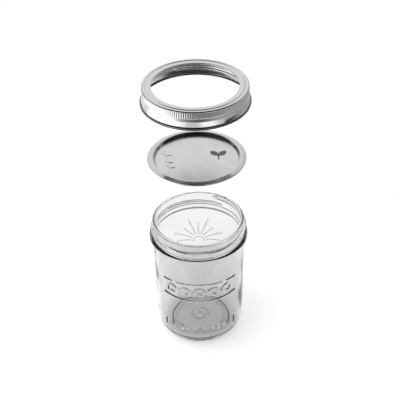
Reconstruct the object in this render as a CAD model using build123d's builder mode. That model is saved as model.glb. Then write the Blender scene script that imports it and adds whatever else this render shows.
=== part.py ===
from build123d import *
import math
import os

# Wide mouth preserving jar, drawn apart: the glass jar stands, the flat lid is held over its
# mouth and the screw band over the lid. Millimetres, +Z up, the origin under the jar's centre.
# Sizes of the jar's outside
jar_height = 120.0
mouth_radius = 38.0
finish_wall = 3.2
bead_height = 5.8
bead_top_drop = 13.6
bead_reach = 2.9
bead_flank = 1.3
bead_rounding = 1.1
shoulder_inset = 2.9
body_taper = 1.3
heel_height = 19.0
heel_reach = 9.4
base_ring_width = 2.5
base_push_up = 1.6

# Sizes of the jar's inside
mouth_depth = 21.0
base_thickness = 4.6
foot_wall = 3.4
inner_heel_height = 14.0
inner_heel_reach = 8.0

# The single raised thread round the jar's neck, right handed
thread_pitch = 6.35
thread_height = 1.7
thread_root_width = 2.8
thread_crest_width = 1.2
thread_root_overlap = 0.5
thread_bead_gap = 0.8
thread_low_angle = 51.0
thread_turns_share = 1.07

# The lid, pressed from tinplate, with a channel round its edge for the sealing compound
lid_sheet = 0.3
lid_band_clearance = 0.7
lid_edge_height = 1.7
lid_edge_return = 0.7
lid_edge_flat = 0.1
lid_corner_rounding = 0.9
lid_step_cover = 1.1
lid_panel_clearance = 1.3
lid_panel_drop = 3.0
lid_step_rounding = 1.5

# The ring of sealing compound in the lid's channel
seal_thickness = 0.8
seal_gap = 0.05

# The screw band
band_sheet = 0.3
band_height = 16.0
band_corner_rounding = 1.1
band_flange_width = 8.2
band_lip_height = 0.9
band_lip_rounding = 0.45
band_groove_inset = 3.3
band_groove_half_width = 0.9
band_groove_depth = 0.35
band_groove_rounding = 0.5
grip_step = 0.25
step_rounding = 0.3
flare_height = 4.2
flare_reach = 1.0
flare_rounding = 6.0
curl_root_rounding = 0.3
curl_height = 2.4
curl_bead_clearance = 0.4
curl_rounding = 0.75
curl_return = 1.5

# The thread rolled into the band, which draws the jar's own thread down from below
band_thread_height = 0.45
band_thread_root_width = 2.9
band_thread_crest_width = 0.8
band_thread_play = 0.3
band_thread_turns_share = 0.5
band_thread_below = 2.7
band_thread_end_wall = 0.6
band_thread_curl_gap = 0.45
band_thread_grip_gap = 0.275

# Seats when the jar is closed, and how far apart the three are held at rest
seat_gap = 0.1
lid_lift = 65.1
band_lift = 68.45

# Angles, and how far a cut runs on past a face
quarter_turn = 90
full_turn = 360
cut_overrun = 0.5

# Radii worked out from those sizes, from the mouth out and then in to the foot
rim_rounding = finish_wall / 2
neck_radius = mouth_radius + finish_wall
bead_radius = neck_radius + bead_reach
body_shoulder_radius = bead_radius - shoulder_inset
body_foot_radius = body_shoulder_radius - body_taper
base_ring_outer_radius = body_foot_radius - heel_reach
base_ring_inner_radius = base_ring_outer_radius - base_ring_width
inner_foot_radius = body_foot_radius - foot_wall
inner_floor_radius = inner_foot_radius - inner_heel_reach

thread_radius = neck_radius + thread_height
ridge_crest_radius = thread_radius + band_thread_play
skirt_bore_radius = ridge_crest_radius + band_thread_height
skirt_radius = skirt_bore_radius + band_sheet
band_radius = skirt_radius + grip_step
band_opening_radius = band_radius - band_flange_width
band_groove_radius = band_radius - band_groove_inset
flare_radius = skirt_radius + flare_reach
curl_radius = bead_radius + curl_bead_clearance + curl_return

lid_radius = ridge_crest_radius - lid_band_clearance
lid_channel_inner_radius = mouth_radius + lid_step_cover
lid_panel_radius = mouth_radius - lid_panel_clearance
lid_edge_rounding = lid_edge_return - lid_edge_flat
lid_step_angle = math.atan2(lid_panel_drop, lid_channel_inner_radius - lid_panel_radius)
lid_channel_flat_radius = lid_channel_inner_radius + lid_step_rounding * math.tan(lid_step_angle / 2)

# Heights worked out the same way
rim_spring_height = jar_height - rim_rounding
bead_top = jar_height - bead_top_drop
bead_bottom = bead_top - bead_height
mouth_bottom = jar_height - mouth_depth
floor_height = base_push_up + base_thickness
thread_low_height = bead_top + thread_bead_gap + thread_root_width / 2

closed_lid_top = jar_height + seat_gap + seal_thickness + lid_sheet
lid_top = closed_lid_top + lid_lift
lid_channel_height = lid_top - lid_sheet
closed_band_top = closed_lid_top + seat_gap + band_groove_depth + band_sheet
band_top = closed_band_top + lid_lift + band_lift
band_bottom = band_top - band_height
curl_top = band_bottom + curl_height
flare_top = curl_top + flare_height
band_thread_low = curl_top + band_thread_curl_gap + band_thread_root_width / 2
band_thread_top = band_thread_low + thread_pitch * band_thread_turns_share + band_thread_root_width / 2
skirt_top = band_thread_top + band_thread_grip_gap
grip_bottom = skirt_top + grip_step

# The band's thread starts where it meets the jar's from below when the jar is closed
closed_band_thread_low = band_thread_low - lid_lift - band_lift
band_thread_climb = closed_band_thread_low + band_thread_below - thread_low_height
band_thread_angle = thread_low_angle + full_turn * band_thread_climb / thread_pitch

# The groove outside it, shorter at each end by a wall, with one sheet left under its floor and flanks
end_wall_turns = band_thread_end_wall / (2 * math.pi * skirt_radius)
groove_low = band_thread_low + thread_pitch * end_wall_turns
groove_angle = band_thread_angle + full_turn * end_wall_turns
groove_floor_radius = ridge_crest_radius + band_sheet
groove_mouth_radius = flare_radius + cut_overrun
flank_share = (band_thread_root_width - band_thread_crest_width) / (flare_radius - ridge_crest_radius) / 2
groove_floor_width = band_thread_crest_width + 2 * band_sheet * (flank_share - math.hypot(1, flank_share))
groove_mouth_width = groove_floor_width + 2 * flank_share * (groove_mouth_radius - groove_floor_radius)


def thread_ridge(pitch, low, turns, angle, root_radius, crest_radius, root_width, crest_width):
    """A helical ridge of tapered section, from root_radius out or in to crest_radius."""
    with BuildPart() as ridge:
        with BuildLine() as path:
            Helix(pitch, pitch * turns, root_radius, center=(0, 0, low))
        section_plane = Plane(origin=(root_radius, 0, low), x_dir=(1, 0, 0), z_dir=(0, 1, 0))
        reach = crest_radius - root_radius
        with BuildSketch(section_plane):
            with BuildLine():
                Polyline(
                    (0, -root_width / 2),
                    (reach, -crest_width / 2),
                    (reach, crest_width / 2),
                    (0, root_width / 2),
                    close=True,
                )
            make_face()
        sweep(path=path.line, is_frenet=True)
    return Rot(0, 0, angle) * ridge.part


# The glass jar: foot ring, heel, tapered wall, transfer bead, neck, rounded rim and the inside
with BuildPart() as glass_jar:
    with BuildSketch(Plane.XZ):
        with BuildLine():
            Polyline(
                (0, base_push_up),
                (base_ring_inner_radius - base_push_up, base_push_up),
                (base_ring_inner_radius, 0),
                (base_ring_outer_radius, 0),
            )
            EllipticalCenterArc(
                (base_ring_outer_radius, heel_height),
                body_foot_radius - base_ring_outer_radius,
                heel_height,
                start_angle=-quarter_turn,
                arc_size=quarter_turn,
            )
            FilletPolyline(
                (body_foot_radius, heel_height),
                (body_shoulder_radius, bead_bottom),
                (bead_radius, bead_bottom + bead_flank),
                (bead_radius, bead_top - bead_flank),
                (neck_radius, bead_top),
                (neck_radius, rim_spring_height),
                radius=bead_rounding,
            )
            ThreePointArc(
                (neck_radius, rim_spring_height),
                (neck_radius - rim_rounding, jar_height),
                (mouth_radius, rim_spring_height),
            )
            Polyline(
                (mouth_radius, rim_spring_height),
                (mouth_radius, mouth_bottom),
                (inner_foot_radius, floor_height + inner_heel_height),
            )
            EllipticalCenterArc(
                (inner_floor_radius, floor_height + inner_heel_height),
                inner_foot_radius - inner_floor_radius,
                inner_heel_height,
                start_angle=-quarter_turn,
                arc_size=quarter_turn,
            )
            Polyline((inner_floor_radius, floor_height), (0, floor_height), (0, base_push_up))
        make_face()
    revolve(axis=Axis.Z)
    add(
        thread_ridge(
            thread_pitch,
            thread_low_height,
            thread_turns_share,
            thread_low_angle,
            neck_radius - thread_root_overlap,
            thread_radius,
            thread_root_width,
            thread_crest_width,
        )
    )
glass_jar.part.label = "glass_jar"

# The lid disc: curled edge, channel for the seal, step down to the flat panel
with BuildPart() as lid_disc:
    with BuildSketch(Plane.XZ):
        with BuildLine():
            FilletPolyline(
                (0, lid_top - lid_panel_drop),
                (lid_panel_radius, lid_top - lid_panel_drop),
                (lid_channel_inner_radius, lid_top),
                (lid_radius, lid_top),
                (lid_radius, lid_top - lid_edge_height),
                (lid_radius - lid_edge_return, lid_top - lid_edge_height),
                radius=[lid_step_rounding, lid_step_rounding, lid_corner_rounding, lid_edge_rounding],
            )
            offset(amount=lid_sheet, side=Side.RIGHT)
        make_face()
    revolve(axis=Axis.Z)
lid_disc.part.label = "lid_disc"

# The seal: a flat ring bonded under the channel
with BuildPart() as lid_seal:
    with BuildSketch(Plane.XY.offset(lid_channel_height)):
        Circle(lid_radius - lid_corner_rounding - seal_gap)
        Circle(lid_channel_flat_radius + seal_gap, mode=Mode.SUBTRACT)
    extrude(amount=-seal_thickness)
lid_seal.part.label = "lid_seal"

# The rolled thread's ridge, which reaches out to the middle of the band's sheet
with BuildPart() as band_ridge:
    add(
        thread_ridge(
            thread_pitch,
            band_thread_low,
            band_thread_turns_share,
            band_thread_angle,
            flare_radius,
            ridge_crest_radius,
            band_thread_root_width,
            band_thread_crest_width,
        )
    )
    with BuildSketch(Plane.XZ, mode=Mode.PRIVATE) as sheet_middle:
        with BuildLine():
            Polyline(
                (0, curl_top),
                (flare_radius - band_sheet / 2, curl_top),
                (skirt_radius - band_sheet / 2, flare_top),
                (skirt_radius - band_sheet / 2, grip_bottom),
                (0, grip_bottom),
                close=True,
            )
        make_face()
    revolve(sheet_middle.sketch, axis=Axis.Z, mode=Mode.INTERSECT)

# The screw band: flange, grip, flare with the rolled thread, and curled edge
with BuildPart() as screw_band:
    with BuildSketch(Plane.XZ):
        with BuildLine():
            FilletPolyline(
                (band_opening_radius, band_top - band_lip_height),
                (band_opening_radius, band_top),
                (band_groove_radius - band_groove_half_width, band_top),
                (band_groove_radius, band_top - band_groove_depth),
                (band_groove_radius + band_groove_half_width, band_top),
                (band_radius, band_top),
                (band_radius, grip_bottom),
                (skirt_radius, skirt_top),
                (skirt_radius, flare_top),
                (flare_radius, curl_top),
                (curl_radius, curl_top),
                (curl_radius, band_bottom),
                (curl_radius - curl_return, band_bottom),
                radius=[
                    band_lip_rounding,
                    band_groove_rounding,
                    band_groove_rounding,
                    band_groove_rounding,
                    band_corner_rounding,
                    step_rounding,
                    step_rounding,
                    flare_rounding,
                    curl_root_rounding,
                    curl_rounding,
                    curl_rounding,
                ],
            )
            offset(amount=band_sheet, side=Side.RIGHT)
        make_face()
    revolve(axis=Axis.Z)
    add(band_ridge.part)
    add(
        thread_ridge(
            thread_pitch,
            groove_low,
            band_thread_turns_share - 2 * end_wall_turns,
            groove_angle,
            groove_mouth_radius,
            groove_floor_radius,
            groove_mouth_width,
            groove_floor_width,
        ),
        mode=Mode.SUBTRACT,
    )
screw_band.part.label = "screw_band"

os.makedirs("parts", exist_ok=True)
for piece in (glass_jar, lid_disc, lid_seal, screw_band):
    export_step(piece.part, "parts/" + piece.part.label + ".step")
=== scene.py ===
import math

import bmesh
import bpy
import numpy as np
from bpy.props import FloatProperty, FloatVectorProperty, IntProperty, PointerProperty
from mathutils import Matrix, Vector


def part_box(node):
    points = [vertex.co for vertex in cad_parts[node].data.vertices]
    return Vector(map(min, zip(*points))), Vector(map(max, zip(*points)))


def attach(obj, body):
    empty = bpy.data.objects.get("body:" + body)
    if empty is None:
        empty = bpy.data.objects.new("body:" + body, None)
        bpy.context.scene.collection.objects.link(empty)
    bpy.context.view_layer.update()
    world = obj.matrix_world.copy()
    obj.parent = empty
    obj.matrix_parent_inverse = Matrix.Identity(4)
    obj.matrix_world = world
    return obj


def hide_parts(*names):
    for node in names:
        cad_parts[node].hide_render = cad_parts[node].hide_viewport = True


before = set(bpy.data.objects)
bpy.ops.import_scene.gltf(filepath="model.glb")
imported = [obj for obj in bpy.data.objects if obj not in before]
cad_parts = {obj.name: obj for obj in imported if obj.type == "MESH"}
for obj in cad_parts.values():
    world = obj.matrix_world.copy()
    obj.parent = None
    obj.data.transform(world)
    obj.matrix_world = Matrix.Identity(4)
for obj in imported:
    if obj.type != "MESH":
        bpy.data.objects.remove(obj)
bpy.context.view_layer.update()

bl_info = {
    "name": "Starter Jar",
    "version": (1, 0, 0),
    "blender": (4, 5, 0),
    "location": "View3D > Sidebar > Starter Jar",
    "description": "Builds a wide mouth preserving jar with its lid and screw band held apart above it",
    "category": "Object",
}

MM = 0.001
TURN = 2 * math.pi
# What lies closer than this counts as touching
TOUCH = 0.01 * MM

JAR_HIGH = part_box("glass_jar")[1]
LID_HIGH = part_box("lid_disc")[1]
BAND_LOW, BAND_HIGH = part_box("screw_band")

# The jar. Its height comes from the frame, and the rest is measured down from the rim or up from the
# foot. The outside is the solid's. The inside is wider under the neck and tighter at the heel, as the
# photograph shows them.
JAR_HEIGHT = JAR_HIGH[2]
JAR_STEPS = 720
BEAD_RADIUS = 44.1 * MM
RING_INNER_RADIUS = 28.0 * MM
RING_OUTER_RADIUS = 30.5 * MM
PUSH_UP = 1.6 * MM
HEEL_HEIGHT = 19.0 * MM
FOOT_RADIUS = 39.9 * MM
SHOULDER_RADIUS = 41.2 * MM
BEAD_TALL = 5.8 * MM
BEAD_TOP = JAR_HEIGHT - 13.6 * MM
BEAD_BOTTOM = BEAD_TOP - BEAD_TALL
BEAD_FLANK = 1.3 * MM
BEAD_ROUNDING = 1.1 * MM
NECK_RADIUS = 41.2 * MM
NECK_FOOT = BEAD_TOP + 1.5 * MM
MOUTH_RADIUS = 38.0 * MM
MOUTH_BOTTOM = JAR_HEIGHT - 21.0 * MM
INNER_SHOULDER_RADIUS = MOUTH_RADIUS + 1.0 * MM
FLOOR_HEIGHT = PUSH_UP + 4.6 * MM
FLOOR_ROWS = 12
INNER_FOOT_RADIUS = FOOT_RADIUS - 3.1 * MM
INNER_HEEL = 10.0 * MM
INNER_FLOOR_RADIUS = 32.5 * MM
JAR_ROW_SPACING = 0.45 * MM
NECK_ROW_SPACING = 0.13 * MM

# The jar's thread, with straighter flanks than the solid's: where it starts, how many turns it has,
# how wide its foot is, how tall its upper and lower flanks are, and how much of a turn it fades over
THREAD_PITCH = 6.35 * MM
THREAD_RADIUS = 42.9 * MM
JAR_THREAD = {
    "low": JAR_HEIGHT - 11.4 * MM,
    "start": math.radians(51),
    "turns": 1.07,
    "root": 3.3 * MM,
    "upper": 1.9 * MM,
    "lower": 0.9 * MM,
    "fade": 0.04,
}

# The ornament cast on the wall: where each pattern's centre lies, how far it reaches to each side,
# and the radius at which it is laid out
ORNAMENT_LOW = 4 * MM
ORNAMENT_HIGH = BEAD_BOTTOM - 2 * MM
FRONT_HEIGHT = 66 * MM
FRONT_REACH = 45 * MM
BACK_HEIGHT = 62 * MM
BACK_REACH = 40 * MM
HEEL_BARS_HEIGHT = 21.5 * MM
HEEL_BARS_REACH = 48 * MM
LAYOUT_RADIUS = 41 * MM
SCROLL_WAVES = 5
SCROLL_SIZE = 5.8 * MM
SCROLL_PITCH = 13.0 * MM
SCROLL_WIDTH = 1.3 * MM
SCROLL_POINTS = 15
SCROLL_START = 1.15
SCROLL_SWEEP = 1.9
SCROLL_TIGHTENING = 0.6
BORDER_OFFSET = 9.5 * MM
BORDER_BOW = 0.0011 / MM
BORDER_REACH = 36 * MM
BORDER_WIDTH = 1.0 * MM
RAYS = 9
RAY_WIDTH = 0.8 * MM
RAY_START = 8 * MM
RAY_LONG = 24 * MM
RAY_SHORT = 18 * MM
RAY_BEAD_GAP = 3 * MM
RAY_BEAD_RADIUS = 1.3 * MM
HALF_DISC_RADIUS = 5.0 * MM
BAR_PITCH = 6.0 * MM
BAR_HALF = 3.0 * MM
PIP_HALF = 1.0 * MM
BAR_WIDTH = 1.2 * MM

# Under the base: a low dome, a ring round a button, and knurls near the foot ring
UNDERSIDE_RADIUS = RING_INNER_RADIUS - 1.2 * MM
DOME_RADIUS = RING_INNER_RADIUS - 4 * MM
DOME_OUTSIDE = 1.0 * MM
DOME_INSIDE = 0.8 * MM
BASE_RELIEF = 1.1 * MM
BASE_RING_RADIUS = 7 * MM
BASE_RING_HALF = 1.4 * MM
BASE_BUTTON_RADIUS = 2.2 * MM
BASE_FLANK = 0.7 * MM
KNURLS = 72
KNURL_LOW_RADIUS = 20 * MM
KNURL_HIGH_RADIUS = 26.5 * MM
KNURL_FLANK = 0.6 * MM
KNURL_WAVE = 0.35 * MM

# How the inside wall wanders: pairs of waves that cross, each pair with its strength, and each wave
# with its crests round the jar, its radians for each metre of height and where it starts
WANDER_INNER_RADIUS = 20 * MM
WANDER_FADE = 10 * MM
WANDERING = (
    (1.0, (3, 60, 0.0), (2, -95, 1.3)),
    (0.6, (5, 140, 0.7), (0, 70, 0.0)),
)

# The lid. Its ring is bowed, as the photograph shows it, where the solid's is flat: it falls from
# the crest to the edge and to the channel, and a steep step leads down to the panel.
LID_STEPS = 600
LID_ROW_SPACING = 0.45 * MM
LID_AXIS_GAP = 0.2 * MM
LID_EDGE_WIDTH = 0.55 * MM
LID_SHEET = 0.3 * MM
LID_RADIUS = 42.5 * MM
LID_TOP = LID_HIGH[2]
LID_EDGE = 2.4 * MM
LID_RETURN = 0.7 * MM
LID_RETURN_ROUNDING = 0.35 * MM
LID_CORNER_ROUNDING = 0.5 * MM
LID_CREST_RADIUS = 38.2 * MM
LID_CREST_ROUNDING = 3.0 * MM
LID_CREST_RISE = 0.12 * MM
LID_EDGE_FALL = 0.8 * MM
LID_CHANNEL_RADIUS = 36.8 * MM
LID_CHANNEL_FALL = 0.45 * MM
LID_PANEL_RADIUS = 35.5 * MM
LID_PANEL_DROP = 3.0 * MM
LID_STEP_ROUNDING = 0.6 * MM
STAMP_REACH = 34 * MM
SEAL_STEPS = 300
SEAL_INNER_RADIUS = 38.4 * MM
SEAL_OUTER_RADIUS = 41.4 * MM
SEAL_BOTTOM = LID_TOP - 1.1 * MM

# The lid's ornament: the stamped twig in millimetres, and the printed sprout, whose leaves and stem
# are in shares of the mark's size
TWIG_STEM = ((-27.3, 13.0), (-26.2, 5.0), (-24.3, -6.0), (-21.8, -21.5))
TWIG_FEET = ((-26.2, 5.0), (-24.3, -6.0), (-23.0, -14.0))
TWIG_LEAVES = ((4.2, 0.9), (-2.4, 2.6))
TWIG_WIDTH = 0.6 * MM
MARK_PLACE = (18.6 * MM, 3.4 * MM)
INK_FILM = 0.03 * MM
LEAF_POINTS = 24
LEAF_LEAN = math.radians(42)
LEAF_LENGTH = 1.45
LEAF_HALF_WIDTH = 0.42
LEAF_BLUNTNESS = 0.8
SPROUT_STEM = ((-0.8, -0.1), (0.15, -0.08), (0.15, 0.08), (-0.8, 0.1))

# The screw band, measured down from its top or up from its curled bottom edge
STEPS_PER_FLUTE = 8
BAND_ROW_SPACING = 0.35 * MM
BAND_SHEET = 0.3 * MM
BAND_TOP = BAND_HIGH[2]
BAND_BOTTOM = BAND_LOW[2]
BAND_RADIUS = 44.2 * MM
BAND_OPENING = 36.0 * MM
BAND_LIP = 0.9 * MM
GROOVE_RADIUS = 40.9 * MM
GROOVE_HALF = 0.9 * MM
GROOVE_DEPTH = 0.35 * MM
GRIP_HEIGHT = 6.55 * MM
GRIP_STEP = 0.25 * MM
FLUTES_FROM = 0.8 * MM
FLUTES_TO = 6.4 * MM
FLUTE_FADE_TOP = 0.7 * MM
FLUTE_FADE_BOTTOM = 0.6 * MM
LIP_ROUNDING = 0.45 * MM
GROOVE_ROUNDING = 0.5 * MM
BAND_CORNER_ROUNDING = 1.1 * MM
SHARP_ROUNDING = 0.3 * MM
FLARE_ROUNDING = 6 * MM
CURL_HEIGHT = 2.4 * MM
CURL_RADIUS = BAND_RADIUS + 1.8 * MM
CURL_RETURN = 1.5 * MM
CURL_ROUNDING = 0.75 * MM
FLARE_REACH = 1.0 * MM
FLARE_TOP = BAND_BOTTOM + 6.6 * MM
BAND_THREAD_RADIUS = 43.2 * MM
BAND_THREAD = {
    "low": BAND_BOTTOM + 4.3 * MM,
    "start": math.radians(297.6),
    "turns": 0.5,
    "root": 2.9 * MM,
    "upper": 1.05 * MM,
    "lower": 1.05 * MM,
    "fade": 0.03,
}

# The tinplate's grain as it is drawn, a colour Mix node's sockets, and white
SATIN_GRAIN = 0.8 * MM
FINE_GRAIN = 0.3 * MM
MIX_A = 6
MIX_B = 7
MIX_RESULT = 2
WHITE = (1, 1, 1, 1)

# The paper's left, right, front and back, and how far it lies under the foot
PAPER = (-0.2, 0.22, -0.12, 0.45)
PAPER_LEVEL = -0.2 * MM
PAPER_GLOW = 0.42

# The soft boxes: name, place, width, the setting that gives the power, and the share of it
LAMPS = (
    ("key", (-1.5, 0.1, 1.7), 1.5, "key_power", 1.0),
    ("fill", (1.1, 1.1, 1.5), 1.6, "key_power", 0.6),
    ("overhead", (-0.3, -0.17, 2.0), 1.2, "overhead_power", 1.0),
)

# The studio that metal mirrors, as cards. Each has levels from left to right, as places along X and
# what they give, and edges: an axis of the direction, where the edge starts and ends along it, and
# the share of light before and after it.
EVEN = ((-1, 1.0), (1, 1.0))
BACKDROP = (("Y", -0.05, 0.35, 0.0, 1.0), ("Z", 0.7, 0.9, 1.0, 0.0), ("X", 0.15, 0.5, 1.0, 0.48))
NEAR = (("Y", 0.5, 0.3, 0.0, 1.0), ("Z", -0.1, 0.1, 1.0, 0.0))
STUDIO = (
    # The backdrop, whose left wing is dark, and its foot, where the wing is light
    (EVEN, (*BACKDROP, ("X", -0.65, -0.4, 0.25, 1.0))),
    (EVEN, (*BACKDROP, ("Z", -0.15, -0.35, 0.0, 1.0))),
    # A soft box low at the left
    (EVEN, (*NEAR, ("X", -0.45, -0.66, 0.0, 1.9), ("Z", -0.62, -0.52, 0.0, 1.0))),
    # Reflector cards along the table's front
    (
        ((-1, 1.6), (-0.42, 1.6), (-0.28, 0.95), (0.08, 0.95), (0.2, 1.6), (0.55, 1.6), (0.75, 0.8)),
        (*NEAR, ("Z", -0.43, -0.28, 0.0, 1.0)),
    ),
    # The table
    (
        ((-0.8, 0.85), (-0.5, 0.56), (-0.25, 0.26), (0, 0.12), (0.2, 0.09), (0.4, 0.28), (0.6, 0.42)),
        (("Z", 0.05, -0.2, 0.05, 1.0),),
    ),
)
# Through glass the table is as white as the paper on it, but for its dark sides
THROUGH = (
    (((-0.9, 0.45), (-0.35, 1.0), (0.35, 1.0), (0.9, 0.45)), (("Z", 0.3, 0.0, 0.05, 1.0),)),
    (EVEN, (("Z", -0.38, -0.25, 0.0, 1.0), ("Z", 0.3, 0.0, 0.05, 1.0))),
)

# The camera, as the photograph's outlines give it, from the middle of the jar's foot
CAMERA_BACK = 709.7 * MM
CAMERA_UP = 658.0 * MM
CAMERA_DOWN = math.radians(36.16)
CAMERA_TURN = math.radians(0.16)
CAMERA_ROLL = math.radians(1.2)
LENS_PIXELS = 1000.7
FRAME_PIXELS = 400
SENSOR = 36.0


def linear(hexadecimal):
    """The linear colour of an sRGB hex value."""
    values = [int(hexadecimal[i:i + 2], 16) / 255 for i in (1, 3, 5)]
    return [v / 12.92 if v <= 0.04045 else ((v + 0.055) / 1.055) ** 2.4 for v in values]


def add_node(tree, kind, settings=None, links=None):
    """Adds a shader node, sets its fields and sockets by name, and feeds its sockets from others."""
    node = tree.nodes.new("ShaderNode" + kind)
    for name, value in (settings or {}).items():
        if isinstance(name, int) or name in node.inputs:
            node.inputs[name].default_value = value
        else:
            setattr(node, name, value)
    for name, source in (links or {}).items():
        tree.links.new(source, node.inputs[name])
    return node


def new_material(name):
    """An empty node material and its output node."""
    material = bpy.data.materials.new(name)
    material.use_nodes = True
    tree = material.node_tree
    tree.nodes.clear()
    return material, tree, add_node(tree, "OutputMaterial")


def smooth(t):
    """Eases from 0 to 1."""
    t = np.clip(t, 0, 1)
    return t * t * (3 - 2 * t)


def straight(t):
    """Goes evenly from 0 to 1."""
    return np.clip(t, 0, 1)


def rounded_path(corners, radii, spacing, arc_steps=7):
    """Points along straight runs joined by arcs, at most spacing apart on the runs."""
    corners = [np.array(c, dtype=float) for c in corners]
    marks = [corners[0]]
    for before, corner, after, radius in zip(corners, corners[1:], corners[2:], radii):
        to_before = (before - corner) / np.linalg.norm(before - corner)
        to_after = (after - corner) / np.linalg.norm(after - corner)
        half = math.acos(float(np.clip(to_before @ to_after, -1, 1))) / 2
        reach = radius / math.tan(half)
        inward = (to_before + to_after) / np.linalg.norm(to_before + to_after)
        middle = corner + inward * radius / math.sin(half)
        start = corner + to_before * reach - middle
        end = corner + to_after * reach - middle
        sweep = math.pi - 2 * half
        for i in range(arc_steps + 1):
            share = i / arc_steps
            part = math.sin((1 - share) * sweep) * start + math.sin(share * sweep) * end
            marks.append(middle + part / math.sin(sweep))
    marks.append(corners[-1])
    points = [marks[0]]
    for mark in marks[1:]:
        run = np.linalg.norm(mark - points[-1])
        # Marks that all but meet are one point
        if run < spacing * 0.02:
            continue
        count = max(1, math.ceil(run / spacing))
        first = points[-1]
        points.extend(first + (mark - first) * k / count for k in range(1, count + 1))
    return points


def quarter_ellipse(centre, across, tall, count):
    """Points of an ellipse's lower outer quarter, from its lowest point to its widest."""
    angles = [math.pi / 2 * i / count for i in range(count + 1)]
    offsets = [np.array((across * math.sin(a), -tall * math.cos(a))) for a in angles]
    return [np.array(centre) + offset for offset in offsets]


def sheet_profile(path, thickness, side):
    """Both faces of a bent sheet: the path, and the same path moved across it by the thickness."""
    path = np.array(path)
    along = np.gradient(path, axis=0)
    along /= np.linalg.norm(along, axis=1)[:, None]
    across = np.stack([along[:, 1], -along[:, 0]], axis=1) * side
    return path, path + across * thickness


def lathe(name, profile, steps, move=None, closed=False):
    """Turns a profile of (radius, height) points round the axis, after move has shifted them. A
    closed profile's last point is joined to its first."""
    profile = np.array(profile, dtype=float)
    angles = np.arange(steps) * TURN / steps
    radius = np.repeat(profile[:, :1], steps, axis=1)
    height = np.repeat(profile[:, 1:], steps, axis=1)
    if move is not None:
        radius, height = move(angles[None, :], radius, height)
    on_axis = profile[:, 0] < TOUCH
    vertices = []
    rows = []
    for i in range(len(profile)):
        if on_axis[i]:
            rows.append([len(vertices)])
            vertices.append((0.0, 0.0, float(height[i].mean())))
        else:
            rows.append(range(len(vertices), len(vertices) + steps))
            x = radius[i] * np.cos(angles)
            y = radius[i] * np.sin(angles)
            vertices.extend(zip(x.tolist(), y.tolist(), height[i].tolist()))
    pairs = list(zip(rows, rows[1:]))
    if closed:
        pairs.append((rows[-1], rows[0]))
    faces = []
    for low, high in pairs:
        if len(low) == len(high) == 1:
            continue
        for j in range(steps):
            k = (j + 1) % steps
            if len(low) == 1:
                faces.append((low[0], high[k], high[j]))
            elif len(high) == 1:
                faces.append((low[j], low[k], high[0]))
            else:
                faces.append((low[j], low[k], high[k], high[j]))
    mesh = bpy.data.meshes.new(name)
    mesh.from_pydata(vertices, [], faces)
    mesh.polygons.foreach_set("use_smooth", [True] * len(faces))
    mesh.update()
    face_outward(mesh)
    return add_object(name, mesh)


def add_object(name, data):
    """Puts a mesh, a lamp or a camera into the scene."""
    thing = bpy.data.objects.new(name, data)
    bpy.context.scene.collection.objects.link(thing)
    return thing


def face_outward(mesh):
    """Turns all faces of a closed mesh to face out."""
    work = bmesh.new()
    work.from_mesh(mesh)
    bmesh.ops.recalc_face_normals(work, faces=work.faces)
    work.to_mesh(mesh)
    work.free()
    mesh.update()


def thread_height(angle, height, low, start, turns, root, upper, lower, fade, ease=smooth):
    """How high a helical ridge stands, from 0 to 1, at each angle and height. Its upper and lower
    flanks rise by ease, and its ends fade."""
    ridge = np.zeros(np.broadcast(angle, height).shape)
    for lap in range(-1, 3):
        turned = (angle - start) / TURN + lap
        over = height - low - THREAD_PITCH * turned
        shape = np.minimum(ease((root / 2 - over) / upper), ease((root / 2 + over) / lower))
        ends = smooth(turned / fade) * smooth((turns - turned) / fade)
        inside = (turned > 0) & (turned < turns)
        ridge = np.maximum(ridge, np.where(inside, shape * ends, 0))
    return ridge


def stroke(u, v, points, width):
    """How much of a rounded stroke through points covers each (u, v), from 0 to 1."""
    nearest = np.full(np.broadcast(u, v).shape, 1.0)
    for (u0, v0), (u1, v1) in zip(points, points[1:]):
        du, dv = u1 - u0, v1 - v0
        # A stroke may be a single point, with no length to divide by
        long = max(du * du + dv * dv, 1e-12)
        t = np.clip(((u - u0) * du + (v - v0) * dv) / long, 0, 1)
        nearest = np.minimum(nearest, np.hypot(u - u0 - t * du, v - v0 - t * dv))
    return smooth(1.0 - nearest / width)


# Ornament in low relief, in metres along the wall (u) and up it (v) from each pattern's centre


def front_relief(u, v):
    """A running scroll, one spiral for each wave, between two bowed lines."""
    total = np.zeros(np.broadcast(u, v).shape)
    for k in range(SCROLL_WAVES):
        centre = (k - (SCROLL_WAVES - 1) / 2) * SCROLL_PITCH
        curve = []
        for share in np.linspace(0, 1, SCROLL_POINTS):
            angle = math.pi * (SCROLL_START - SCROLL_SWEEP * share)
            reach = SCROLL_SIZE * (1.0 - SCROLL_TIGHTENING * share)
            curve.append((centre + reach * math.cos(angle), reach * math.sin(angle)))
        total = np.maximum(total, stroke(u, v, curve, SCROLL_WIDTH))
    for side in (-1, 1):
        places = np.linspace(-BORDER_REACH, BORDER_REACH, 13)
        line = [(x, side * (BORDER_OFFSET - BORDER_BOW * x * x)) for x in places]
        total = np.maximum(total, stroke(u, v, line, BORDER_WIDTH))
    return total


def back_relief(u, v):
    """Rays that spread up from a half disc, each with a bead at its end."""
    turns = np.linspace(0, math.pi, 9)
    arc = [(HALF_DISC_RADIUS * math.cos(a), HALF_DISC_RADIUS * math.sin(a)) for a in turns]
    total = stroke(u, v, arc, RAY_WIDTH)
    for k in range(RAYS):
        angle = math.pi * (0.06 + 0.88 * k / (RAYS - 1))
        far = RAY_LONG if k % 2 else RAY_SHORT
        ray = [(r * math.cos(angle), r * math.sin(angle)) for r in (RAY_START, far)]
        total = np.maximum(total, stroke(u, v, ray, RAY_WIDTH))
        bead = far + RAY_BEAD_GAP
        tip = [(bead * math.cos(angle), bead * math.sin(angle))] * 2
        total = np.maximum(total, stroke(u, v, tip, RAY_BEAD_RADIUS))
    return total


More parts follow.
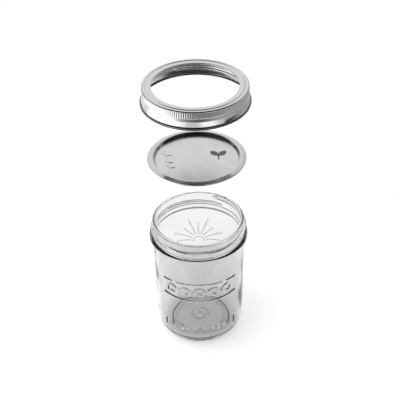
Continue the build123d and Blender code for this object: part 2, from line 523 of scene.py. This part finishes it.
def heel_relief(u, v):
    """A row of short bars and pips."""
    total = np.zeros(np.broadcast(u, v).shape)
    for k in range(-6, 7):
        place = k * BAR_PITCH
        if k % 3 == 0:
            points = [(place, -BAR_HALF), (place, BAR_HALF)]
        else:
            points = [(place - PIP_HALF, 0), (place + PIP_HALF, 0)]
        total = np.maximum(total, stroke(u, v, points, BAR_WIDTH))
    return total


def around(angle, centre):
    """An angle measured from centre, between minus and plus half a turn."""
    return (angle - centre + math.pi) % TURN - math.pi


def wall_ornament(angle, height):
    """All that is cast on the wall: each pattern, with the side and height of its centre and its reach."""
    patterns = (
        (front_relief, 270, FRONT_HEIGHT, FRONT_REACH),
        (back_relief, 90, BACK_HEIGHT, BACK_REACH),
        (heel_relief, 270, HEEL_BARS_HEIGHT, HEEL_BARS_REACH),
    )
    total = np.zeros(height.shape)
    for relief, degrees, centre, reach in patterns:
        u = around(angle, math.radians(degrees)) * LAYOUT_RADIUS
        total = np.maximum(total, np.where(np.abs(u) < reach, relief(u, height - centre), 0))
    return total


def base_relief(angle, radius):
    """What is cast under the base: knurls near the foot ring, and a ring round a button."""
    knurl = smooth((radius - KNURL_LOW_RADIUS) / KNURL_FLANK)
    knurl = knurl * smooth((KNURL_HIGH_RADIUS - radius) / KNURL_FLANK)
    knurl = knurl * (0.5 + 0.5 * np.cos(KNURLS * angle)) * (0.5 + 0.5 * np.cos(radius / KNURL_WAVE))
    ring = smooth((BASE_RING_HALF - np.abs(radius - BASE_RING_RADIUS)) / BASE_FLANK)
    return knurl + ring + smooth((BASE_BUTTON_RADIUS - radius) / BASE_FLANK)


def wandering(angle, height):
    """How the inside wall wanders, as a share of its unevenness."""
    total = np.zeros(height.shape)
    for strength, *waves in WANDERING:
        first, second = [np.sin(n * angle + rise * height + begin) for n, rise, begin in waves]
        total = total + strength * first * second
    return total


def twig(u, v):
    """A twig with three pairs of narrow leaves, in thin lines at the left of the lid's panel, where
    u and v are X and Y."""
    total = stroke(u, v, [(x * MM, y * MM) for x, y in TWIG_STEM], TWIG_WIDTH)
    for x, y in TWIG_FEET:
        for reach, rise in TWIG_LEAVES:
            leaf = [(x * MM, y * MM), ((x + reach) * MM, (y + rise) * MM)]
            total = np.maximum(total, stroke(u, v, leaf, TWIG_WIDTH))
    return total


class JarSettings(bpy.types.PropertyGroup):
    """What can be changed on the glass jar"""

    glass_colour: FloatVectorProperty(
        name="Glass colour",
        description="What one wall of the glass lets through",
        subtype="COLOR",
        min=0,
        max=1,
        default=linear("#e0e0e0"),
    )
    base_colour: FloatVectorProperty(
        name="Base colour",
        description="What the thick base lets through",
        subtype="COLOR",
        min=0,
        max=1,
        default=linear("#dcdcdc"),
    )
    relief: FloatProperty(
        name="Relief",
        description="How far the ornament stands out of the wall",
        default=0.85 * MM,
        unit="LENGTH",
    )
    unevenness: FloatProperty(
        name="Unevenness",
        description="How far the inside wall wanders, as blown glass does",
        default=0.12 * MM,
        unit="LENGTH",
    )


class LidSettings(bpy.types.PropertyGroup):
    """What can be changed on the lid"""

    tin_colour: FloatVectorProperty(
        name="Tinplate colour",
        description="The lid's tinplate",
        subtype="COLOR",
        min=0,
        max=1,
        default=linear("#dbdbda"),
    )
    # The edge's colour is lighter than the panel's: painted light on the rolled edge
    lit_edge_colour: FloatVectorProperty(
        name="Edge colour",
        description="The lid's rolled edge, which the tools have burnished",
        subtype="COLOR",
        min=0,
        max=1,
        default=linear("#e8e8e7"),
    )
    ink_colour: FloatVectorProperty(
        name="Ink colour",
        description="The printed mark",
        subtype="COLOR",
        min=0,
        max=1,
        default=linear("#464646"),
    )
    mark_size: FloatProperty(
        name="Mark size",
        description="Half the width of the printed mark",
        default=7.0 * MM,
        unit="LENGTH",
    )
    stamp_depth: FloatProperty(
        name="Stamp depth",
        description="How deep the stamped lines lie in the panel",
        default=0.35 * MM,
        unit="LENGTH",
    )


class BandSettings(bpy.types.PropertyGroup):
    """What can be changed on the screw band"""

    tin_colour: FloatVectorProperty(
        name="Tinplate colour",
        description="The band's tinplate",
        subtype="COLOR",
        min=0,
        max=1,
        default=linear("#d6d6d6"),
    )
    # The curl's dark colour is painted shade along the rolled edge
    curl_shade_colour: FloatVectorProperty(
        name="Curl colour",
        description="The curled bottom edge, dulled by the rolling tools",
        subtype="COLOR",
        min=0,
        max=1,
        default=linear("#7c7c7c"),
    )
    # The inside's grey is painted shade under the band, besides its lacquer
    inside_shade_colour: FloatVectorProperty(
        name="Inside colour",
        description="The band's inside, under clear lacquer",
        subtype="COLOR",
        min=0,
        max=1,
        default=linear("#c0c0c0"),
    )
    flutes: IntProperty(
        name="Flutes",
        description="How many grip flutes go round the band",
        default=150,
        min=24,
    )
    flute_depth: FloatProperty(
        name="Flute depth",
        description="How deep each grip flute is",
        default=0.2 * MM,
        unit="LENGTH",
    )


class StageSettings(bpy.types.PropertyGroup):
    """What can be changed on the stage"""

    floor_colour: FloatVectorProperty(
        name="Floor colour",
        description="The paper sweep under the jar",
        subtype="COLOR",
        min=0,
        max=1,
        default=linear("#f4f4f4"),
    )
    key_power: FloatProperty(
        name="Key power",
        description="Power of the lamp at the left, which the fill lamp follows",
        default=5.0,
        unit="POWER",
    )
    overhead_power: FloatProperty(
        name="Overhead power",
        description="Power of the large lamp over the jar",
        default=28.0,
        unit="POWER",
    )


def distance_from_axis(tree, position):
    """How far each point of a surface lies from the jar's axis."""
    flat = add_node(tree, "VectorMath", {"operation": "MULTIPLY", 1: (1, 1, 0)}, {0: position})
    length = add_node(tree, "VectorMath", {"operation": "LENGTH"}, {0: flat.outputs["Vector"]})
    return length.outputs["Value"]


def jar_glass(settings):
    """Soda-lime glass, blown in an iron mould and fire polished: a clear wall with a grey edge, and a
    surface that is smooth to the touch but wavers over a centimetre or two."""
    material, tree, output = new_material("Soda_lime_glass_mould_blown")
    position = add_node(tree, "NewGeometry").outputs["Position"]
    waver = add_node(
        tree,
        "TexNoise",
        {"Scale": 1 / (14 * MM), "Detail": 1.5, "Roughness": 0.4},
        {"Vector": position},
    )
    bump = add_node(tree, "Bump", {"Strength": 0.25, "Distance": 0.12 * MM}, {"Height": waver.outputs["Fac"]})
    # The base is more than twice as thick as the wall, and greyer for it
    thick = add_node(
        tree,
        "MapRange",
        {
            "From Min": INNER_FLOOR_RADIUS + 2 * MM,
            "From Max": INNER_FLOOR_RADIUS,
            "interpolation_type": "SMOOTHSTEP",
        },
        {"Value": distance_from_axis(tree, position)},
    )
    tint = add_node(
        tree,
        "Mix",
        {"data_type": "RGBA", MIX_A: (*settings.glass_colour, 1), MIX_B: (*settings.base_colour, 1)},
        {0: thick.outputs["Result"]},
    )
    glass = add_node(
        tree,
        "BsdfPrincipled",
        {"Roughness": 0.0, "IOR": 1.52, "Transmission Weight": 1.0},
        {"Base Color": tint.outputs[MIX_RESULT], "Normal": bump.outputs["Normal"]},
    )
    # Lamps shine through the wall instead of casting a solid shadow
    clear = add_node(tree, "BsdfTransparent", {"Color": (0.82, 0.82, 0.82, 1)})
    path = add_node(tree, "LightPath")
    mix = add_node(
        tree,
        "MixShader",
        links={0: path.outputs["Is Shadow Ray"], 1: glass.outputs["BSDF"], 2: clear.outputs["BSDF"]},
    )
    tree.links.new(mix.outputs["Shader"], output.inputs["Surface"])
    return material


def satin_tinplate(name, colour, roughness, grain, drawn_shade_tone=1.0):
    """Tinplate, cold rolled with a satin finish: a soft mirror whose fine rolling grain runs one way.
    The first roughness is the flat panel's, the second that of what the press has drawn and
    burnished, and the last argument is the share of the colour kept on the drawn ring, as painted shade."""
    material, tree, output = new_material(name)
    position = add_node(tree, "NewGeometry").outputs["Position"]
    # Real rolling grain is far finer than this, and is drawn coarse enough to show
    stretch = add_node(
        tree,
        "Mapping",
        {"Scale": (1 / (grain * 3), 1 / grain, 1 / grain)},
        {"Vector": position},
    )
    streaks = add_node(
        tree,
        "TexNoise",
        {"Scale": 1.0, "Detail": 3.0, "Roughness": 0.6},
        {"Vector": stretch.outputs["Vector"]},
    )
    clouds = add_node(tree, "TexNoise", {"Scale": 1 / (9 * MM), "Detail": 2.0}, {"Vector": position})
    # Each of these changes from the flat panel to what is drawn round it, where the grain is burnished and
    # the colour is darkened as painted shade
    changes = {"roughness": roughness, "grain": (0.5, 0.08), "tone": (1.0, drawn_shade_tone)}
    radius = distance_from_axis(tree, position)
    drawn = {}
    for what, (on_panel, round_it) in changes.items():
        change = add_node(
            tree,
            "MapRange",
            {
                "From Min": LID_PANEL_RADIUS - 1.5 * MM,
                "From Max": LID_PANEL_RADIUS,
                "To Min": on_panel,
                "To Max": round_it,
            },
            {"Value": radius},
        )
        drawn[what] = change.outputs["Result"]
    uneven = add_node(
        tree,
        "MapRange",
        {"From Min": 0.3, "From Max": 0.7, "To Min": 0.9, "To Max": 1.1},
        {"Value": clouds.outputs["Fac"]},
    )
    rough = add_node(
        tree,
        "Math",
        {"operation": "MULTIPLY"},
        {0: drawn["roughness"], 1: uneven.outputs["Result"]},
    )
    tone = add_node(
        tree,
        "Mix",
        {"data_type": "RGBA", "blend_type": "MULTIPLY", MIX_A: (*colour, 1), MIX_B: (0.94, 0.94, 0.94, 1)},
        {0: clouds.outputs["Fac"]},
    )
    bump = add_node(
        tree,
        "Bump",
        {"Distance": 0.02 * MM},
        {"Height": streaks.outputs["Fac"], "Strength": drawn["grain"]},
    )
    # The drawn ring's colour is scaled down here: painted shade
    toned_and_shaded = add_node(
        tree,
        "VectorMath",
        {"operation": "SCALE"},
        {0: tone.outputs[MIX_RESULT], "Scale": drawn["tone"]},
    )
    metal = add_node(
        tree,
        "BsdfPrincipled",
        {"Metallic": 1.0},
        {
            "Base Color": toned_and_shaded.outputs["Vector"],
            "Roughness": rough.outputs["Value"],
            "Normal": bump.outputs["Normal"],
        },
    )
    tree.links.new(metal.outputs["BSDF"], output.inputs["Surface"])
    return material


def sealing_compound():
    """Plastisol, flowed on and oven cured: a dull, faintly pitted grey rubber."""
    material, tree, output = new_material("Plastisol_oven_cured")
    position = add_node(tree, "NewGeometry").outputs["Position"]
    pits = add_node(tree, "TexNoise", {"Scale": 1 / (0.8 * MM), "Detail": 3.0}, {"Vector": position})
    bump = add_node(tree, "Bump", {"Strength": 0.4, "Distance": 0.08 * MM}, {"Height": pits.outputs["Fac"]})
    tone = add_node(
        tree,
        "Mix",
        {"data_type": "RGBA", MIX_A: (*linear("#565452"), 1), MIX_B: (*linear("#6a6765"), 1)},
        {0: pits.outputs["Fac"]},
    )
    rubber = add_node(
        tree,
        "BsdfPrincipled",
        {"Roughness": 0.55, "IOR": 1.5},
        {"Base Color": tone.outputs[MIX_RESULT], "Normal": bump.outputs["Normal"]},
    )
    tree.links.new(rubber.outputs["BSDF"], output.inputs["Surface"])
    return material


def printing_ink(settings):
    """Metal decorating ink, offset printed and stoved: a thin dark film with a slight sheen."""
    material, tree, output = new_material("Decorating_ink_offset_printed")
    position = add_node(tree, "NewGeometry").outputs["Position"]
    film = add_node(tree, "TexNoise", {"Scale": 1 / (0.6 * MM), "Detail": 2.0}, {"Vector": position})
    thin = [c * 1.5 for c in settings.ink_colour]
    tone = add_node(
        tree,
        "Mix",
        {"data_type": "RGBA", MIX_A: (*settings.ink_colour, 1), MIX_B: (*thin, 1)},
        {0: film.outputs["Fac"]},
    )
    ink = add_node(
        tree,
        "BsdfPrincipled",
        {"Roughness": 0.4, "IOR": 1.5},
        {"Base Color": tone.outputs[MIX_RESULT]},
    )
    tree.links.new(ink.outputs["BSDF"], output.inputs["Surface"])
    return material


class STARTERJAR_OT_glass(bpy.types.Operator):
    """Builds the glass jar: foot ring, heel, wall with its ornament, bead, thread and rim"""

    bl_idname = "starter_jar.glass"
    bl_label = "Glass jar"

    def execute(self, context):
        settings = context.scene.starter_jar
        outside = rounded_path(
            [
                (0, PUSH_UP),
                (RING_INNER_RADIUS - PUSH_UP, PUSH_UP),
                (RING_INNER_RADIUS, 0),
                (RING_OUTER_RADIUS, 0),
            ],
            [1.0 * MM, 0.5 * MM],
            0.6 * MM,
        )
        heel_reach = FOOT_RADIUS - RING_OUTER_RADIUS
        heel = quarter_ellipse((RING_OUTER_RADIUS, HEEL_HEIGHT), heel_reach, HEEL_HEIGHT, 48)
        wall = rounded_path(
            [
                (FOOT_RADIUS, HEEL_HEIGHT),
                (SHOULDER_RADIUS, BEAD_BOTTOM),
                (BEAD_RADIUS, BEAD_BOTTOM + BEAD_FLANK),
                (BEAD_RADIUS, BEAD_TOP - BEAD_FLANK),
                (NECK_RADIUS, BEAD_TOP),
                (NECK_RADIUS, NECK_FOOT),
            ],
            [BEAD_ROUNDING] * 4,
            JAR_ROW_SPACING,
        )
        rim_radius = (NECK_RADIUS - MOUTH_RADIUS) / 2
        spring = JAR_HEIGHT - rim_radius
        # The neck's rows lie closer, because they carry the thread
        neck = [np.array((NECK_RADIUS, z)) for z in np.arange(NECK_FOOT, spring, NECK_ROW_SPACING)]
        middle = np.array((NECK_RADIUS - rim_radius, spring))
        turns = np.linspace(0, math.pi, 17)
        rim = [middle + rim_radius * np.array((math.cos(a), math.sin(a))) for a in turns]
        inside = rounded_path(
            [
                (MOUTH_RADIUS, spring - 0.5 * MM),
                (MOUTH_RADIUS, BEAD_TOP),
                (INNER_SHOULDER_RADIUS, BEAD_BOTTOM + 0.4 * MM),
                (INNER_FOOT_RADIUS, FLOOR_HEIGHT + INNER_HEEL),
            ],
            [1.5 * MM, 1 * MM],
            0.5 * MM,
        )
        inner_reach = INNER_FOOT_RADIUS - INNER_FLOOR_RADIUS
        inner_middle = (INNER_FLOOR_RADIUS, FLOOR_HEIGHT + INNER_HEEL)
        inner_heel = quarter_ellipse(inner_middle, inner_reach, INNER_HEEL, 24)[::-1]
        shares = [k / FLOOR_ROWS for k in range(FLOOR_ROWS - 1, -1, -1)]
        floor = [np.array((INNER_FLOOR_RADIUS * share, FLOOR_HEIGHT)) for share in shares]
        profile = outside + heel[1:] + wall[1:] + neck[1:] + rim + inside + inner_heel[1:] + floor
        outer_rows = len(outside) + len(heel) + len(wall) + len(neck) + len(rim) // 2
        is_outer = (np.arange(len(profile)) < outer_rows)[:, None]

        def move(angle, radius, height):
            ridge = thread_height(angle, height, ease=straight, **JAR_THREAD)
            on_neck = is_outer & (height > BEAD_TOP) & (radius > NECK_RADIUS - TOUCH)
            out = np.where(on_neck, ridge * (THREAD_RADIUS - NECK_RADIUS), 0)
            on_wall = is_outer & (height > ORNAMENT_LOW) & (height < ORNAMENT_HIGH)
            out = out + np.where(on_wall, wall_ornament(angle, height) * settings.relief, 0)
            below_mouth = smooth((MOUTH_BOTTOM - height) / WANDER_FADE) * (radius > WANDER_INNER_RADIUS)
            waver = wandering(angle, height) * below_mouth * settings.unevenness
            out = out + np.where(is_outer, 0, waver)
            dome = np.clip(1 - (radius / DOME_RADIUS) ** 2, 0, 1)
            under = is_outer & (height < PUSH_UP + TOUCH) & (radius < UNDERSIDE_RADIUS)
            on_floor = ~is_outer & (height < FLOOR_HEIGHT + TOUCH)
            lift = np.where(under, base_relief(angle, radius) * BASE_RELIEF + dome * DOME_OUTSIDE, 0)
            lift = lift + np.where(on_floor, dome * DOME_INSIDE, 0)
            return radius + out, height + lift

        piece = lathe("jar_body", profile, JAR_STEPS, move)
        piece.data.materials.append(jar_glass(settings))
        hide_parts("glass_jar")
        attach(piece, "jar")
        return {"FINISHED"}


class STARTERJAR_OT_lid(bpy.types.Operator):
    """Builds the lid: rolled edge, bowed ring, step and stamped panel, with its seal and printed mark"""

    bl_idname = "starter_jar.lid"
    bl_label = "Lid"

    def execute(self, context):
        settings = context.scene.starter_lid
        path = rounded_path(
            [
                (LID_RADIUS - LID_RETURN, LID_TOP - LID_EDGE),
                (LID_RADIUS, LID_TOP - LID_EDGE),
                (LID_RADIUS, LID_TOP - LID_EDGE_FALL),
                (LID_CREST_RADIUS, LID_TOP + LID_CREST_RISE),
                (LID_CHANNEL_RADIUS, LID_TOP - LID_CHANNEL_FALL),
                (LID_PANEL_RADIUS, LID_TOP - LID_PANEL_DROP),
                (LID_AXIS_GAP, LID_TOP - LID_PANEL_DROP),
            ],
            [LID_RETURN_ROUNDING, LID_CORNER_ROUNDING, LID_CREST_ROUNDING] + [LID_STEP_ROUNDING] * 2,
            LID_ROW_SPACING,
        )
        upper, lower = sheet_profile(path, LID_SHEET, -1)
        top = np.concatenate([upper, [(0, LID_TOP - LID_PANEL_DROP)]])
        under = np.concatenate([[(0, LID_TOP - LID_PANEL_DROP - LID_SHEET)], lower[::-1]])
        profile = np.concatenate([top, under])

        def move(angle, radius, height):
            depth = twig(radius * np.cos(angle), radius * np.sin(angle))
            return radius, height - depth * settings.stamp_depth * (radius < STAMP_REACH)

        # Both faces of the sheet end on the axis, and are joined there and at the edge
        piece = lathe("lid_plate", profile, LID_STEPS, move, closed=True)
        # The panel keeps its satin, and the drawn ring round it mirrors more sharply and is painted darker as
        # shade
        piece.data.materials.append(
            satin_tinplate("Tinplate_satin_stamped_shaded_ring", settings.tin_colour, (0.3, 0.14), SATIN_GRAIN, 0.87)
        )
        # The rolling tools burnish the edge smoother, and its colour is painted lighter than the panel as
        # painted light
        piece.data.materials.append(
            satin_tinplate("Tinplate_curled_lid_edge_painted_light", settings.lit_edge_colour, (0.2, 0.2), FINE_GRAIN)
        )
        for face in piece.data.polygons:
            face.material_index = int(face.center.xy.length > LID_RADIUS - LID_EDGE_WIDTH)
        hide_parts("lid_disc")
        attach(piece, "lid")
        self.flow_seal(lower)
        self.print_mark(settings)
        return {"FINISHED"}

    def flow_seal(self, lower):
        """The ring of compound, which fills the space under the lid's ring down to a flat face."""
        under = [p for p in lower if SEAL_INNER_RADIUS < p[0] < SEAL_OUTER_RADIUS and p[1] > SEAL_BOTTOM]
        flat = [(under[-1][0], SEAL_BOTTOM), (under[0][0], SEAL_BOTTOM)]
        piece = lathe("seal_ring", np.concatenate([under, flat]), SEAL_STEPS, closed=True)
        piece.data.materials.append(sealing_compound())
        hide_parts("lid_seal")
        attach(piece, "lid")

    def print_mark(self, settings):
        """A sprout of two leaves, printed on the panel."""
        size = settings.mark_size
        middle = Vector(MARK_PLACE)
        work = bmesh.new()
        for side in (-1, 1):
            lean = TURN / 4 - side * LEAF_LEAN
            leaf = []
            for i in range(LEAF_POINTS):
                share = 2 * i / LEAF_POINTS
                along = share if share <= 1 else 2 - share
                half = LEAF_HALF_WIDTH * math.sin(math.pi * along) ** LEAF_BLUNTNESS
                leaf.append((along * size * LEAF_LENGTH, (half if share <= 1 else -half) * size))
            self.add_film(work, leaf, lean, middle)
        stem = [(x * size, y * size) for x, y in SPROUT_STEM]
        self.add_film(work, stem, TURN / 4, middle)
        mesh = bpy.data.meshes.new("lid_print")
        work.to_mesh(mesh)
        work.free()
        face_outward(mesh)
        piece = add_object("lid_print", mesh)
        piece.data.materials.append(printing_ink(settings))
        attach(piece, "lid")

    def add_film(self, work, outline, turn, middle):
        """A closed film of ink with this outline, turned and moved onto the panel."""
        surface = LID_TOP - LID_PANEL_DROP
        cos, sin = math.cos(turn), math.sin(turn)
        rings = []
        for level in (surface - INK_FILM, surface + INK_FILM):
            rings.append(
                [
                    work.verts.new((middle.x + x * cos - y * sin, middle.y + x * sin + y * cos, level))
                    for x, y in outline
                ]
            )
        work.faces.new(rings[0][::-1])
        work.faces.new(rings[1])
        count = len(outline)
        for i in range(count):
            j = (i + 1) % count
            work.faces.new((rings[0][i], rings[0][j], rings[1][j], rings[1][i]))


class STARTERJAR_OT_band(bpy.types.Operator):
    """Builds the screw band: flange, fluted grip, rolled thread, flare and curled edge"""

    bl_idname = "starter_jar.band"
    bl_label = "Screw band"

    def execute(self, context):
        settings = context.scene.starter_band
        skirt = BAND_RADIUS - GRIP_STEP
        grip_low = BAND_TOP - GRIP_HEIGHT
        path = rounded_path(
            [
                (BAND_OPENING, BAND_TOP - BAND_LIP),
                (BAND_OPENING, BAND_TOP),
                (GROOVE_RADIUS - GROOVE_HALF, BAND_TOP),
                (GROOVE_RADIUS, BAND_TOP - GROOVE_DEPTH),
                (GROOVE_RADIUS + GROOVE_HALF, BAND_TOP),
                (BAND_RADIUS, BAND_TOP),
                (BAND_RADIUS, grip_low),
                (skirt, grip_low - GRIP_STEP),
                (skirt, FLARE_TOP),
                (skirt + FLARE_REACH, BAND_BOTTOM + CURL_HEIGHT),
                (CURL_RADIUS, BAND_BOTTOM + CURL_HEIGHT),
                (CURL_RADIUS, BAND_BOTTOM),
                (CURL_RADIUS - CURL_RETURN, BAND_BOTTOM),
            ],
            [LIP_ROUNDING]
            + [GROOVE_ROUNDING] * 3
            + [BAND_CORNER_ROUNDING, SHARP_ROUNDING, SHARP_ROUNDING, FLARE_ROUNDING, SHARP_ROUNDING]
            + [CURL_ROUNDING] * 2,
            BAND_ROW_SPACING,
            6,
        )
        outer, inner = sheet_profile(path, BAND_SHEET, 1)
        profile = np.concatenate([outer, inner[::-1]])
        is_outer = (np.arange(len(profile)) < len(outer))[:, None]

        def move(angle, radius, height):
            from_top = BAND_TOP - height
            fluted = smooth((from_top - FLUTES_FROM) / FLUTE_FADE_TOP)
            fluted = fluted * smooth((FLUTES_TO - from_top) / FLUTE_FADE_BOTTOM)
            on_grip = radius > BAND_RADIUS - 1.0 * MM
            flute = (0.5 - 0.5 * np.cos(settings.flutes * angle)) * settings.flute_depth
            ridge = thread_height(angle, height, **BAND_THREAD)
            below_grip = (height < grip_low) & (height > BAND_BOTTOM + CURL_HEIGHT)
            rolled_radius = np.where(is_outer, BAND_THREAD_RADIUS + BAND_SHEET, BAND_THREAD_RADIUS)
            inward = fluted * flute * on_grip + ridge * (radius - rolled_radius) * below_grip
            return radius - inward, height

        steps = settings.flutes * STEPS_PER_FLUTE
        piece = lathe("band_ring", profile, steps, move, closed=True)
        finishes = (
            # Bright rolling leaves a fairly sharp mirror
            ("Tinplate_bright_rolled", settings.tin_colour, 0.2),
            # Curling dulls and darkens the edge
            # The curl and the ledge over it are painted dark: painted shade along the rolled edge
            ("Tinplate_curled_edge_painted_shade", settings.curl_shade_colour, 0.24),
            # Clear lacquer makes the inside softer, and the inside is painted greyer as shade under the band
            ("Tinplate_lacquered_inside_painted_shade", settings.inside_shade_colour, 0.26),
        )
        for name, colour, rough in finishes:
            piece.data.materials.append(satin_tinplate(name, colour, (rough, rough), FINE_GRAIN))
        inner_from = steps * len(outer)
        for face in piece.data.polygons:
            # The curl's faces and the ledge over it take the painted shade
            if face.center.z < BAND_BOTTOM + CURL_HEIGHT + 0.05 * MM:
                face.material_index = 1
            elif min(face.vertices) >= inner_from:
                face.material_index = 2
        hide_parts("screw_band")
        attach(piece, "band")
        return {"FINISHED"}


def brightest(tree, levels):
    """The largest of several levels."""
    most = levels[0]
    for level in levels[1:]:
        larger = add_node(tree, "Math", {"operation": "MAXIMUM"}, {0: most, 1: level})
        most = larger.outputs["Value"]
    return most


def studio_card(tree, parts, stops, edges):
    """What one card of the studio gives in each direction: its levels, times its soft edges."""
    share = add_node(tree, "MapRange", {"From Min": -1.0, "From Max": 1.0}, {"Value": parts.outputs["X"]})
    stripes = add_node(tree, "ValToRGB", links={"Fac": share.outputs["Result"]})
    marks = stripes.color_ramp.elements
    while len(marks) < len(stops):
        marks.new(0.5)
    for mark, (place, level) in zip(marks, stops):
        mark.position = (place + 1) / 2
        mark.color = (level, level, level, 1)
    light = stripes.outputs["Color"]
    for axis, start, end, before, after in edges:
        edge = add_node(
            tree,
            "MapRange",
            {
                "From Min": start,
                "From Max": end,
                "To Min": before,
                "To Max": after,
                "interpolation_type": "SMOOTHSTEP",
            },
            {"Value": parts.outputs[axis]},
        )
        factors = {0: light, 1: edge.outputs["Result"]}
        light = add_node(tree, "Math", {"operation": "MULTIPLY"}, factors).outputs["Value"]
    return light


class STARTERJAR_OT_stage(bpy.types.Operator):
    """Builds the paper sweep, the lamps, the surroundings and the camera"""

    bl_idname = "starter_jar.stage"
    bl_label = "Stage"

    def execute(self, context):
        settings = context.scene.starter_stage
        self.add_floor(settings)
        self.add_world(context.scene)
        for name, place, width, power, share in LAMPS:
            self.add_lamp(name, place, width, getattr(settings, power) * share)
        self.add_camera(context.scene)
        context.scene.view_settings.view_transform = "Standard"
        return {"FINISHED"}

    def add_floor(self, settings):
        """White paper that shows the shadow, and is white to the camera, to metal and through glass."""
        mesh = bpy.data.meshes.new("paper_sweep")
        left, right, front, back = PAPER
        corners = [(left, front), (right, front), (right, back), (left, back)]
        mesh.from_pydata([(x, y, PAPER_LEVEL) for x, y in corners], [], [(0, 1, 2, 3)])
        floor = add_object("paper_sweep", mesh)
        material, tree, output = new_material("Cartridge_paper_matt")
        paper = add_node(tree, "BsdfDiffuse", {"Color": (*settings.floor_colour, 1)})
        path = add_node(tree, "LightPath")
        rays = ("Is Camera Ray", "Is Glossy Ray", "Is Transmission Ray")
        seen = brightest(tree, [path.outputs[ray] for ray in rays])
        strength = add_node(tree, "Math", {"operation": "MULTIPLY", 1: PAPER_GLOW}, {0: seen})
        glow = add_node(tree, "Emission", {"Color": WHITE}, {"Strength": strength.outputs["Value"]})
        both = add_node(tree, "AddShader", links={0: paper.outputs["BSDF"], 1: glow.outputs["Emission"]})
        tree.links.new(both.outputs["Shader"], output.inputs["Surface"])
        mesh.materials.append(material)

    def add_world(self, scene):
        """A studio: a white backdrop behind, a soft box at the left, a dim table in front and a dark
        room above and behind the camera. To the camera itself it is plain white."""
        world = bpy.data.worlds.new("studio")
        scene.world = world
        world.use_nodes = True
        tree = world.node_tree
        tree.nodes.clear()
        output = add_node(tree, "OutputWorld")
        direction = add_node(tree, "TexCoord")
        parts = add_node(tree, "SeparateXYZ", links={0: direction.outputs["Generated"]})
        room = brightest(tree, [studio_card(tree, parts, *card) for card in STUDIO])
        through = brightest(tree, [studio_card(tree, parts, *card) for card in THROUGH])
        path = add_node(tree, "LightPath")
        # Each Mix turns from input 2 to input 3 for the rays that its first input names
        seen = add_node(
            tree,
            "Mix",
            {"data_type": "FLOAT"},
            {0: path.outputs["Is Transmission Ray"], 2: room, 3: through},
        )
        level = add_node(
            tree,
            "Mix",
            {"data_type": "FLOAT", 3: 1.0},
            {0: path.outputs["Is Camera Ray"], 2: seen.outputs[0]},
        )
        background = add_node(tree, "Background", {"Color": WHITE}, {"Strength": level.outputs[0]})
        tree.links.new(background.outputs["Background"], output.inputs["Surface"])

    def add_lamp(self, name, place, size, power):
        """A square soft box that faces the jar. Metal and glass show the world's cards in its stead."""
        data = bpy.data.lights.new(name, "AREA")
        data.shape = "SQUARE"
        data.size = size
        data.energy = power
        lamp = add_object(name, data)
        lamp.location = place
        aim = Vector((0, 0, JAR_HEIGHT)) - Vector(place)
        lamp.rotation_euler = aim.to_track_quat("-Z", "Y").to_euler()
        lamp.visible_glossy = False
        lamp.visible_transmission = False

    def add_camera(self, scene):
        """The photograph's camera: above and in front, with a long lens and a slight roll."""
        data = bpy.data.cameras.new("camera")
        data.sensor_fit = "HORIZONTAL"
        data.sensor_width = SENSOR
        data.lens = SENSOR * LENS_PIXELS / FRAME_PIXELS
        data.clip_end = 20
        camera = add_object("camera", data)
        ahead = math.cos(CAMERA_DOWN)
        forward = Vector(
            (math.sin(CAMERA_TURN) * ahead, math.cos(CAMERA_TURN) * ahead, -math.sin(CAMERA_DOWN))
        )
        right = forward.cross(Vector((0, 0, 1))).normalized()
        up = right.cross(forward)
        cos, sin = math.cos(CAMERA_ROLL), math.sin(CAMERA_ROLL)
        rolled_up = up * cos + right * sin
        rolled_right = right * cos - up * sin
        turn = Matrix((rolled_right, rolled_up, -forward)).transposed()
        camera.matrix_world = Matrix.Translation((0, -CAMERA_BACK, CAMERA_UP)) @ turn.to_4x4()
        scene.camera = camera


class STARTERJAR_PT_panel(bpy.types.Panel):
    """Lists the jar's pieces and their settings"""

    bl_idname = "STARTERJAR_PT_panel"
    bl_label = "Starter Jar"
    bl_space_type = "VIEW_3D"
    bl_region_type = "UI"
    bl_category = "Starter Jar"

    def draw(self, context):
        for operator, group in OPERATORS:
            box = self.layout.box()
            box.operator(operator)
            settings = getattr(context.scene, group)
            for name in settings.__annotations__:
                box.prop(settings, name)


SETTINGS = {
    "starter_jar": JarSettings,
    "starter_lid": LidSettings,
    "starter_band": BandSettings,
    "starter_stage": StageSettings,
}
OPERATORS = (
    ("starter_jar.stage", "starter_stage"),
    ("starter_jar.glass", "starter_jar"),
    ("starter_jar.lid", "starter_lid"),
    ("starter_jar.band", "starter_band"),
)
CLASSES = (
    *SETTINGS.values(),
    STARTERJAR_OT_stage,
    STARTERJAR_OT_glass,
    STARTERJAR_OT_lid,
    STARTERJAR_OT_band,
    STARTERJAR_PT_panel,
)


def register():
    """Registers the classes and hangs their settings on the scene."""
    for each in CLASSES:
        bpy.utils.register_class(each)
    for name, group in SETTINGS.items():
        setattr(bpy.types.Scene, name, PointerProperty(type=group))


def unregister():
    """Takes the settings and classes away again."""
    for name in SETTINGS:
        delattr(bpy.types.Scene, name)
    for each in reversed(CLASSES):
        bpy.utils.unregister_class(each)


def main():
    """Registers the classes, then builds the stage and every piece."""
    register()
    bpy.ops.starter_jar.stage()
    bpy.ops.starter_jar.glass()
    bpy.ops.starter_jar.lid()
    bpy.ops.starter_jar.band()


if __name__ == "__main__":
    main()
